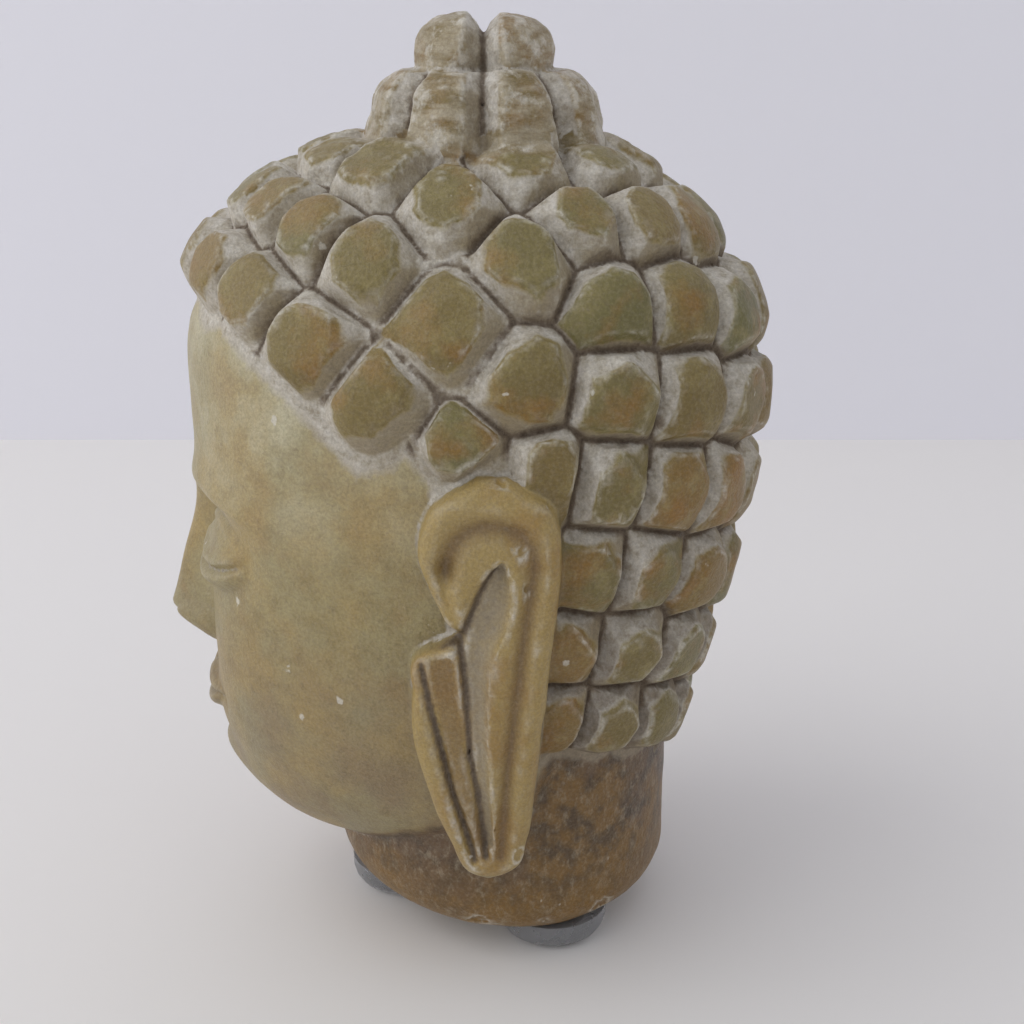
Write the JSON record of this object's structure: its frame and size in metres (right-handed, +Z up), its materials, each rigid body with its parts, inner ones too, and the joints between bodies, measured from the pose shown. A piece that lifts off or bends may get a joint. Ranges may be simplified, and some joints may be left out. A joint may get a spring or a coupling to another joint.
{
  "type": "stone buddha head",
  "caption": "Small carved stone head with a topknot, rows of cut curls, long ears and calm closed eyes, on clear bumper feet.",
  "frame": {"origin": "middle of the object's box seen from above, on the plane the feet stand on", "axes": "+Z up, the face looks along -Y, the head's own left ear is on +X"},
  "size_m": [0.0588, 0.0692, 0.1038],
  "materials": {
    "carved_stone": "waxed, softly polished on the curl tops, dull and dusty in the grooves",
    "clear_rubber": "clear soft bumper, slightly grey"
  },
  "bodies": {
    "root": {"stone_head": "carved_stone", "foot_front": "clear_rubber", "foot_back_left": "clear_rubber", "foot_back_right": "clear_rubber"}
  },
  "joints": []
}
